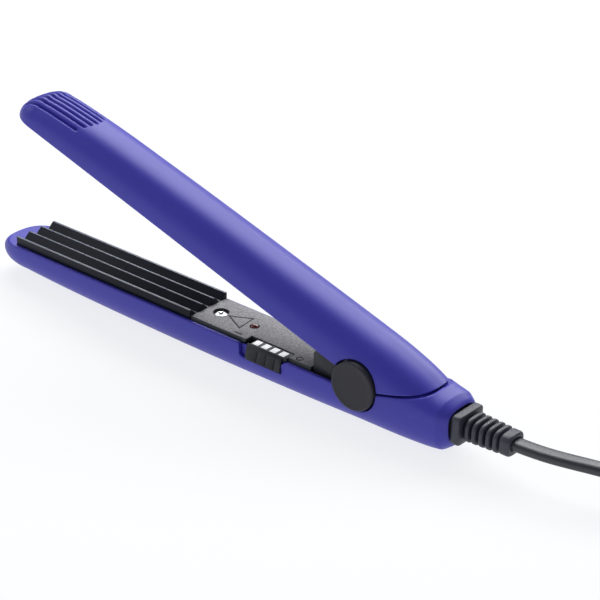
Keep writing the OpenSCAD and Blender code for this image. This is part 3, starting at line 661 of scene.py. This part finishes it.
def rounded_start(outline, radius, outward):
    """The outline shortened by radius, and the points that round it over onto the rim."""
    steps = lengths_along(outline)
    radius = min(radius, outline[0, 0] * 0.5, steps[-1] * 0.3)
    if radius < 1e-4:
        return outline, np.repeat(outline[:1], len(ROUNDING), axis=0)
    start = np.array([np.interp(radius, steps, column) for column in outline.T])
    up = outline[0] - start
    up /= np.linalg.norm(up)
    out = np.array([abs(up[1]), -up[0] * np.sign(up[1])]) * outward
    turns = ROUNDING[:, None]
    over = start - out * radius + radius * (out * np.cos(turns) + up * np.sin(turns))
    return np.vstack((start, outline[steps > radius])), over


def notched(x, z):
    """The lower arm's rim with the recess for the switch's skirt cut down into it."""
    inside = min(x - NOTCH_FRONT, NOTCH_REAR - x)
    if inside > 0 and x > NOTCH_SLOPE:
        share = (x - NOTCH_SLOPE) / (NOTCH_REAR - NOTCH_SLOPE)
        return min(z, -RIM - NOTCH_SHOULDER * (1 - share))
    if inside > 0:
        short = max(NOTCH_FILLET - x + NOTCH_FRONT, 0)
        return min(z, NOTCH_LOW + NOTCH_FILLET - math.sqrt(NOTCH_FILLET ** 2 - short ** 2))
    if inside > -NOTCH_LIP:
        return z - NOTCH_LIP + math.sqrt(NOTCH_LIP ** 2 - (NOTCH_LIP + inside) ** 2)
    return z


class Arm:
    """One arm's form: its sections, its nose, and the height of its rim. side is 1 for the upper."""

    def __init__(self, side, z_mid, z_top, z_bottom, run, power):
        self.side = side
        self.nose = (z_mid, z_top, z_bottom, run, power)
        self.inner_shares = np.linspace(0, 1, INNER_POINTS)
        self.outer_shares = np.linspace(0, 1, UPPER_POINTS if side > 0 else LOWER_POINTS)

    def ring(self, x, inset=0.0):
        """Half the arm's full section at x, drawn in by inset."""
        deep = inset * DEEPER
        if self.side > 0:
            x = min(x, crown[-1][0])
            return half_ring(curve(upper_half, x) - inset, RIM, curve(crown, x) - RIM - deep, UPPER_DEPTH, 1)
        middle = -RIM + max(x - TAIL_START, 0) * TAIL_RISE
        up = max(curve(tail_top, x) - middle - inset, 1)
        return half_ring(curve(lower_half, x) - inset, middle, up, middle - curve(belly, x) - deep, -1)

    def rim(self, x, near):
        """Height of the rim at x, on the near (-y) or the far side."""
        round_z = math.sqrt(max(RECESS_R ** 2 - x ** 2, 0))
        if self.side > 0:
            z = max(RIM, round_z)
            return max(z, seam_height(x)) if x > upper_seam[0, 0] else z
        z = -RIM if x < SEAM_START else curve(seam, min(x, SEAM_END))
        if round_z:
            z = min(z, -round_z)
        return notched(x, z) if near else z

    def columns(self, outline):
        """The outer face's points, from the rim to the pole; the upper arm's grip has fine, even ones."""
        if self.side < 0:
            return spaced(outline, self.outer_shares)
        widest = int(np.argmax(outline[:, 0]))
        split = outline[widest, 0] * GRIP_SHARE
        y = np.linspace(split, 0, GRIP_POINTS)
        inward = outline[widest:][::-1]
        crown_line = np.column_stack((y, np.interp(y, inward[:, 0], inward[:, 1])))
        past = (outline[:, 0] < split) & (np.arange(len(outline)) > widest)
        flank = outline[:max(int(np.argmax(past)), 1)]
        return np.vstack((spaced(np.vstack((flank, crown_line[:1])), self.outer_shares)[:-1], crown_line))

    def run(self, z, inset=0.0):
        """How far the nose runs past its start at height z; it stays just short of its edge."""
        z_mid, z_top, z_bottom, run, power = self.nose
        depth = np.where(z > z_mid, z_top - z_mid, z_mid - z_bottom)
        u = np.minimum(np.abs(z - z_mid) / depth, 0.985)
        return (run - inset) * (1 - u ** power) ** (1 / power)

    def pocket(self):
        """Inner face beside and under the plates' front end, as section points."""
        y, z = HALF - WALL, self.side * RIM
        corner, low = [y, self.side * POCKET_FLOOR], [0, self.side * POCKET_FLOOR]
        return np.vstack((np.linspace([y, z], corner, 5), np.linspace(corner, low, 11)[1:]))


def along(x, points):
    """Section points [y, z] set at x."""
    return np.column_stack((np.full(len(points), x), points))


def nose_steps(arm):
    """Shares [ahead, across] of the nose's plan from its tip to its start, one of them at the deck's end."""
    t = np.linspace(math.pi / 2, 0, PLAN_POINTS)
    plan = np.column_stack((np.sin(t), np.cos(t))).clip(0) ** (2 / NOSE_POWER)
    deck = (NOSE_START - DECK_END) / float(arm.run(np.array(arm.side * RIM), EASE))
    steps = spaced(plan, np.linspace(0, 1, NOSE_ROWS))
    steps[np.argmin(abs(steps[:, 0] - deck))] = (deck, (1 - deck ** NOSE_POWER) ** (1 / NOSE_POWER))
    return steps, deck


def nose_rows(arm):
    """Outer, rim, deck and pocket rows of the nose's half with y > 0, from the tip to the nose's start."""
    side = arm.side
    steps, deck = nose_steps(arm)
    base = arm.columns(cut_at(arm.ring(NOSE_START), side * (RIM + EASE), side))
    outer, rims, decks, floors = [], [], [], []
    for ahead, across in steps:
        def at_nose(points, inset=0.0):
            return np.column_stack((NOSE_START - arm.run(points[:, 1], inset) * ahead, points[:, 0] * across,
                                    points[:, 1]))
        outer.append(at_nose(base))
        over = []
        for a in ROUNDING:
            inset = EASE * (1 - math.cos(a))
            z = side * (RIM + EASE * (1 - math.sin(a)))
            over.append(at_nose(np.array([[curve(lower_half, NOSE_START) - inset, z]]), inset)[0])
        over[0] = outer[-1][0]
        rims.append(over)
        end = over[-1]
        if ahead >= deck - 1e-9:
            decks.append(np.linspace(end, [end[0], 0, end[2]], DECK_POINTS))
        if ahead <= deck + 1e-9:
            floors.append(np.vstack(([end], along(end[0], arm.pocket()))))
    return outer, rims, decks, floors


def shell_rows(arm, stations, near):
    """Outer, rim and inner rows behind the nose; a row has no rim once the section has closed."""
    outer, rims, inner, sealed = [], [], [], False
    for x in stations:
        edge = arm.rim(x, near)
        line = cut_at(arm.ring(x), edge, arm.side)
        closed = arm.side < 0 and edge >= arm.ring(x)[0, 1]
        line, over = rounded_start(line, 0 if closed else EASE, 1)
        outer.append(along(x, arm.columns(line)))
        hollow = arm.ring(x, WALL)
        gone = edge >= (hollow[-1, 1] if arm.side > 0 else hollow[0, 1])
        if x <= POCKET_END - 0.001:
            within = arm.pocket()
            lip = within[:1].repeat(len(ROUNDING), axis=0)
        elif gone:
            within = spaced(cut_at(hollow, edge, arm.side), arm.inner_shares)
            lip = np.repeat([[0, min(edge, line[0, 1])]], len(ROUNDING), axis=0)
            within = within if arm.side < 0 else np.repeat([[0, edge]], len(within), axis=0)
        else:
            within, lip = rounded_start(cut_at(hollow, edge, arm.side), LIP, -1)
            within = spaced(within, arm.inner_shares)
        inner.append(along(x, within))
        if not sealed:
            rims.append(along(x, np.vstack((over, lip[::-1]))))
        sealed = sealed or closed
    return outer, rims, inner


def step_wall(arm, deck_end):
    """Wall from the end of the nose's deck down to the pocket's floor."""
    top = deck_end.copy()
    top[:, 1] = np.linspace(HALF - WALL, 0, len(top))
    foot = top.copy()
    foot[:, 0], foot[:, 2] = DECK_END, arm.side * POCKET_FLOOR
    return [top, foot]


GROOVE_PITCH, GROOVE_DEPTH, GROOVE_MIDDLE = 2.2, 1.05, -0.3
GROOVES_EACH_SIDE = 3         # of the middle one
GROOVE_SHARPNESS = 2.4        # higher is narrower
GRIP_REAR, GRIP_ARC = -126, 0.05   # where the middle groove ends, and how far the ends curve forward
GRIP_CENTRE = [-120, 0, 2]    # a point inside the arm, which tells its outside from its inside


def grooved(rows):
    """Grip on the thumb pad: seven lengthwise grooves that run over the nose and end on an arc."""
    p = np.array(rows)
    normal = np.cross(np.gradient(p, axis=0), np.gradient(p, axis=1))
    normal /= np.linalg.norm(normal, axis=2, keepdims=True) + 1e-12
    normal *= np.sign((normal * (p - GRIP_CENTRE)).sum(2, keepdims=True))
    x, y, z = np.moveaxis(p, 2, 0)
    y = y - GROOVE_MIDDLE
    wave = (0.5 + 0.5 * np.cos(2 * math.pi * y / GROOVE_PITCH)) ** GROOVE_SHARPNESS
    wave *= np.abs(y) < (GROOVES_EACH_SIDE + 0.5) * GROOVE_PITCH
    nearest = np.round(y / GROOVE_PITCH) * GROOVE_PITCH
    rear = GRIP_REAR - GRIP_ARC * nearest ** 2
    wave *= np.clip((rear - x) / 1.2 + 0.5, 0, 1) ** 0.6 * np.clip((z - 4) / 3, 0, 1)
    return p - normal * (wave * GROOVE_DEPTH)[..., None]


def recess_stations():
    """Stations that follow the round recess about the hinge caps evenly."""
    return [-RECESS_R * math.cos(math.radians(a)) for a in range(13, 178, 5)]


def lower_stations():
    """Places along the lower arm, close together where its rim turns."""
    apex = next(x for x in np.arange(24, 28, 0.01) if curve(seam, x) >= curve(tail_top, x))
    stations = [NOSE_START, -143.5, POCKET_END - 0.002, POCKET_END, *np.arange(-139, -49, 3)]
    stations += [*np.arange(NOTCH_FRONT - 0.6, NOTCH_FRONT + 1.5, 0.15), *np.arange(-43, -29, 2)]
    stations += [NOTCH_SLOPE - 0.3, NOTCH_SLOPE, NOTCH_SLOPE + 0.01]
    stations += [*np.arange(NOTCH_SLOPE + 0.2, NOTCH_REAR + 0.6, 0.2), *np.arange(-25, -9, 2)]
    stations += [*recess_stations(), RECESS_R - 0.01, RECESS_R, *np.arange(9, 24, 0.75)]
    stations += [*(apex - 1.6 * np.linspace(1, 0, 12) ** 2), *np.arange(apex + 0.5, TAIL_TURN, 0.7)]
    return stations


def upper_stations():
    """Places along the upper arm, close together under the grip and where its rim turns."""
    apex = next(x for x in np.arange(20, 24, 0.01) if seam_height(x) >= curve(crown, x))
    stations = [NOSE_START, *np.arange(-144.6, POCKET_END - 0.1, 0.4), POCKET_END - 0.002, POCKET_END]
    stations += [*np.arange(-141.6, -124, 0.4), *np.arange(-123, -9, 3)]
    stations += [*recess_stations()[:-4], 8.05, *np.arange(9, apex - 2.4, 0.8)]
    stations += [*(apex - 2.4 * np.linspace(1, 0, 16) ** 2)]
    return stations


def tail_edge():
    """[x, inset] over the tail's rounded end and down the wall of the recess about the strain relief."""
    over = [(0, 0), (0.3, 0.05), (0.6, 0.18), (0.95, 0.38), (1.6, 0.78), (2.4, 1.25), (3.1, 1.75)]
    crest = [(-0.1, 2.15), (0, 2.36), (-0.1, 2.53), (-0.4, 2.58)]
    return ([(TAIL_TURN + x, inset) for x, inset in over] + [(TAIL_END + x, inset) for x, inset in crest]
            + [(x, 2.6) for x in np.linspace(TAIL_END - 0.9, RECESS_FLOOR, 5)])


def make_lower_shell():
    """Belly, nose and tail, with the recesses for the switch's skirt and the strain relief."""
    arm = Arm(-1, z_mid=-6, z_top=0, z_bottom=-13, run=-NOSE + NOSE_START, power=2.2)
    stations = lower_stations()
    hollow_end = sum(x < HOLLOW_END for x in stations)
    sheets = Sheets()
    for flip, near in ((1, False), (-1, True)):
        outer, rims, decks, floors = nose_rows(arm)
        back_outer, back_rims, inner = shell_rows(arm, stations, near)
        for x, inset in tail_edge():
            back_outer.append(along(x, arm.columns(arm.ring(TAIL_TURN, inset))))
        floor = back_outer[-1]
        middle = np.array([floor[0, 0], 0, BOOT_Z])
        back_outer += [middle + (floor - middle) * share for share in (0.75, 0.5, 0.25, 0)]
        last = inner[hollow_end - 1]
        end_wall = [last, np.repeat([[last[0, 0], 0, last[:, 2].mean()]], len(last), axis=0)]
        for rows in (outer + back_outer, rims, back_rims, decks, floors, step_wall(arm, decks[-1]),
                     inner[:hollow_end], end_wall):
            sheets.grid(np.array(rows) * [1, flip, 1])
    piece("lower_arm_shell", sheets, "lower_arm", "violet_shell", ("lower_shell",), sharp=50)


def make_upper_shell():
    """The upper arm, with the grooved grip over its nose."""
    arm = Arm(1, z_mid=3, z_top=11.8, z_bottom=-14, run=9.9, power=1.5)
    stations = upper_stations()
    sheets = Sheets()
    for flip, near in ((1, False), (-1, True)):
        mirrored = np.array([1, flip, 1])
        outer, rims, decks, floors = nose_rows(arm)
        back_outer, back_rims, inner = shell_rows(arm, stations, near)
        sheets.grid(grooved(np.array(outer + back_outer[1:]) * mirrored))
        for rows in (rims, back_rims, decks, floors, inner):
            sheets.grid(np.array(rows) * mirrored)
    piece("upper_arm_shell", sheets, "upper_arm", "violet_shell", ("upper_shell",), upper=True, sharp=50)


# ---------- everything else that the CAD shapes already hold, with eased edges ----------

NODE_FINISH = {
    "lower_plate_tray": ("heat_black", 0.2), "upper_plate_tray": ("heat_black", 0.2),
    "lower_crimp_plate": ("plate_coating", 0.17), "upper_crimp_plate": ("plate_coating", 0.17),
    "lower_heater": ("ceramic", 0.1), "upper_heater": ("ceramic", 0.1),
    "lower_insulation": ("insulation_sheet", 0.05), "upper_insulation": ("insulation_sheet", 0.05),
    "lower_heater_clip": ("spring_steel", 0.03), "upper_heater_clip": ("spring_steel", 0.03),
    "lower_cover_screw": ("screw_steel", 0.07), "upper_cover_screw": ("screw_steel", 0.07),
    "led_indicator": ("led_red", 0.05), "control_board": ("board_green", 0.05),
    "board_components": ("component_black", 0.1), "switch_body": ("black_plastic", 0.12),
    "switch_slider": ("black_plastic", 0.14), "slider_bars": ("white_print", 0.08),
    "switch_actuator": ("white_print", 0.1), "thermal_fuse": ("spring_steel", 0.05),
    "lower_heater_leads": ("lead_white", 0), "upper_heater_leads": ("lead_white", 0),
    "mains_leads": ("lead_white", 0), "hinge_block": ("black_plastic", 0.25),
    "hinge_pin": ("screw_steel", 0.1), "hinge_washers": ("white_print", 0.05),
    "upper_hinge_frame": ("black_plastic", 0.2),
    "cord_clamp": ("black_plastic", 0.15), "cord_clamp_screws": ("screw_steel", 0.06),
    "inner_cord_end": ("cord_sheath", 0.1), "cord_tie": ("black_plastic", 0.15),
}


def finish_nodes():
    """The parts whose CAD shape stays, each with its finish and its edges eased."""
    for node, (slot, ease) in NODE_FINISH.items():
        obj = piece("fine_" + node, eased(node, ease), frame["nodes"][node]["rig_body"], slot, (node,))
        if slot == "plate_coating":
            paint_crest_highlights(obj)


CREST_LENGTH, CREST_WIDTH = 40 * MM, 0.5 * MM


def paint_crest_highlights(plate):
    """The narrow eased edges along a plate's crests get a light finish: a painted highlight."""
    plate.data.materials.append(FINISHES["plate_crest"])
    for polygon in plate.data.polygons:
        corners = [plate.data.vertices[i].co for i in polygon.vertices]
        length = max((a - b).length for a in corners for b in corners)
        if length > CREST_LENGTH and polygon.area / length < CREST_WIDTH:
            polygon.material_index = 1


def make_panels():
    """Panels whose spark-textured face is painted lighter and whose smoother flanks are painted darker, as
    light and shade by which way each face turns, and dark floors in the marks.
    """
    faces = {"lower": Vector((0, 0, 1)), "upper": Vector((math.sin(OPEN), 0, math.cos(OPEN)))}
    for name, face in faces.items():
        cover = f"{name}_inner_cover"
        panel = piece(f"{name}_panel", eased(cover, 0.12), f"{name}_arm", "panel_grey", (cover,)).data
        panel.materials.append(FINISHES["panel_flank_painted_shade"])
        panel.materials.append(FINISHES["mark_ink"])
        top = max(vertex.co.z for vertex in panel.vertices)
        for polygon in panel.polygons:
            depth = (top - polygon.center.z) / MM
            # faces that don't turn with the panel's face take the dark flank finish: painted shade
            if abs(polygon.normal.dot(face)) < 0.8:
                polygon.material_index = 1
            if name == "lower" and polygon.normal.z > 0.5 and 0.03 < depth < 0.3:
                polygon.material_index = 2


def turned_about_y(profile):
    """Rings of a disc with [radius, y] profile about the hinge axis."""
    a = np.linspace(0, 2 * math.pi, 96, endpoint=False)
    return np.array([np.column_stack((r * np.cos(a), np.full(len(a), y), r * np.sin(a))) for r, y in profile])


def make_caps():
    """Hinge caps: slightly dished face, rounded bevel, and a hollow back."""
    face, bevel, back, hollow, bore = 11.2, 10.5, 8.75, 9.45, 2.02
    profile = [(0, hollow), (bore, hollow), (bore, back), (CAP_R - 0.15, back), (CAP_R, back + 0.15)]
    profile += [(CAP_R, bevel)]
    profile += [(CAP_R - 0.6 * (1 - math.cos(a)), bevel + 0.62 * math.sin(a))
                for a in np.radians([15, 30, 45, 60, 75])]
    profile += [(CAP_R - 0.75, face - 0.06), (CAP_R - 1.0, face - 0.1), (CAP_R - 1.2, face - 0.13),
                (5, face - 0.16), (2.5, face - 0.18), (0, face - 0.18)]
    for name, flip, node in (("near_cap", -1, "hinge_cap_near"), ("far_cap", 1, "hinge_cap_far")):
        sheets = Sheets()
        sheets.grid(turned_about_y(profile) * [1, flip, 1], closed=True)
        piece(name, sheets, "lower_arm", "cap_charcoal", (node,), sharp=30)


def make_switch_well():
    """Violet wall behind the slider's skirt, so that the recess isn't seen through."""
    near, far, low, high = -8.62, -8.3, NOTCH_LOW - 0.6, -2.7
    section = np.array([[near, low], [far, low], [far, high], [near, high]])
    sheets = Sheets()
    sheets.tube([along(x, section) for x in np.linspace(NOTCH_FRONT - 0.4, NOTCH_REAR + 0.4, 6)])
    piece("switch_well", sheets, "lower_arm", "violet_shell")


# ---------- strain relief ----------

FLANGE_END = TAIL_END + 3.3
RIBS, RIB_PITCH, RIB = 5, 2.4, 1.4
FIRST_RIB = FLANGE_END + 1.0
KNOB = FIRST_RIB + RIB_PITCH * RIBS
BOOT_DROP = -0.2              # the ribs and the knob sit a little below the cord's axis
CORE_CUT = 2.2                # how much narrower the core is than the ribs

boot_turn = np.linspace(0, 2 * math.pi, 96, endpoint=False)
boot_spine = np.clip(-np.sin(boot_turn) * 1.6 - 0.35, 0, 1)      # 1 along the spine underneath


def boot_ring(x, width, height, z, power, cut=0.0):
    """A squarish ring, z above the cord's axis, and smaller by cut except along the spine."""
    c, s = np.cos(boot_turn), np.sin(boot_turn)
    across = width / 2 * np.sign(c) * np.abs(c) ** (2 / power)
    up = height / 2 * np.sign(s) * np.abs(s) ** (2 / power)
    shrink = 1 - cut * (1 - 0.8 * boot_spine) / (width / 2)
    return along(x, np.column_stack((across * shrink, up * shrink + BOOT_Z + z)))


def boot_block(start, end, width, height, z, power, ease):
    """A block of the strain relief with its edges eased at both ends."""
    steps = [(start, 0.0), (start + ease * 0.3, 0.7), (start + ease, 1.0), (end - ease, 1.0),
             (end - ease * 0.3, 0.7), (end, 0.0)]
    return [boot_ring(x, width - 2 * ease * (1 - k), height - 2 * ease * (1 - k), z, power) for x, k in steps]


def boot_ribs():
    """C-shaped ribs that get smaller towards the cord, with the core in the gap before each."""
    rings = []
    for k in range(RIBS):
        width, height = 9.7 - 0.22 * k, 8.0 - 0.16 * k
        x = FIRST_RIB + RIB_PITCH * k
        gap = x - (RIB_PITCH - RIB) / 2
        rings += [boot_ring(gap + end, width, height, BOOT_DROP, 3.0, CORE_CUT) for end in (-0.38, 0.38)]
        for share in (0.0, 0.08, 0.2, 0.5, 0.8, 0.92, 1.0):
            edge = (abs(share - 0.5) * 2) ** 6
            rings.append(boot_ring(x + RIB * share, width, height, BOOT_DROP, 3.2, 0.45 * edge))
    return rings


def boot_knob():
    """The rounded knob at the end, with the hole that the cord comes out of."""
    width, height = 8.3, 6.9
    rings = [boot_ring(x, 8.4, 7.0, BOOT_DROP, 3, 1.3) for x in (KNOB - 0.75, KNOB - 0.45)]
    turn = np.radians([0, 25, 50, 75, 90])
    front = [(KNOB - 0.3 + 0.6 * (1 - math.cos(a)), 1.2 * (1 - math.sin(a))) for a in turn]
    rear = [(BOOT_END - 0.9 + 0.9 * math.sin(a), 1.4 * (1 - math.cos(a))) for a in turn]
    rings += [boot_ring(x, width - less, height - less, BOOT_DROP, 3.4) for x, less in front + rear]
    for depth, room in ((0, 0.7), (0.2, 0.3), (1.4, 0.2)):
        rings.append(boot_ring(BOOT_END - depth, CORD_W + room, CORD_H + room, 0, 3))
    return rings


def make_strain_relief():
    """Anchor, neck, chamfered flange, C-shaped ribs on a spine, and a knob with a hole for the cord."""
    rings = boot_block(RECESS_FLOOR - 5.4, RECESS_FLOOR - 2.5, 12, 9, 0, 7, 0.2)
    rings += [boot_ring(x, 8, 6.6, 0, 7) for x in (RECESS_FLOOR - 2.4, RECESS_FLOOR + 0.2)]
    rings += boot_block(RECESS_FLOOR + 0.3, TAIL_END + 0.4, 9.8, 7.4, -0.6, 8, 0.15)
    rings += boot_block(TAIL_END + 0.5, FLANGE_END, 12.4, 9.7, -0.35, 9, 0.45)
    sheets = Sheets()
    sheets.tube(rings + boot_ribs() + boot_knob())
    piece("boot", sheets, "lower_arm", "boot_rubber", ("strain_relief",), sharp=42)


# ---------- spring and crossing leads ----------

def make_spring():
    """The hinge's torsion spring, with an end in each arm."""
    turns, steps, r, half = 4, 20, 3.3, 2
    coil = []
    for k in range(turns * steps + 1):
        a = math.pi - 2 * math.pi * k / steps
        coil.append([r * math.cos(a), half - 2 * half * k / (turns * steps), r * math.sin(a)])
    upper_end = [[-12, 2.1, 11.7], [-9.5, 2.1, 9.2], [-7, 2.1, 6.5], [-5, 2.1, 4], [-3.7, 2.05, 1.9]]
    lower_end = [[-4.4, -2.05, 1.3], [-8, -2.1, 1.5], [-13, -2.1, 1.5], [-16.8, -2.1, 1.5]]
    spring = Sheets()
    spring.tube(round_wire(upper_end + coil + lower_end, 0.4))
    return piece("torsion_spring", spring, None, "spring_steel", ("hinge_spring",))


def make_leads():
    """Two leads that cross the hinge from arm to arm."""
    route = np.array([[-22, 4.6, -7.1], [-17, 4.6, -7.1], [-14, 4.6, -6.8], [-12.6, 4.6, -5.2],
                      [-12.4, 4.6, -1], [-12.4, 4.6, 5], [-12.9, 4.7, 8.2], [-14.6, 4.9, 10.6],
                      [-17.6, 5, 12], [-21, 5, 12.6]])
    leads = Sheets()
    for side in (1, -1):
        leads.tube(round_wire(route * [1, side, 1], 0.65))
    return piece("crossing_leads", leads, None, "lead_white", ("hinge_leads",))


def make_spring_and_leads():
    """Both cross between the two arms and are given heights above the hinge axis; each is made without a body
    and its placement is baked into its mesh.
    """
    for obj, low, high in ((make_spring(), 3, 10), (make_leads(), -1, 10)):
        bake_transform(obj)


make_camera()
make_cord()
make_studio()
make_lower_shell()
make_upper_shell()
make_panels()
make_caps()
make_switch_well()
make_strain_relief()
make_spring_and_leads()
finish_nodes()
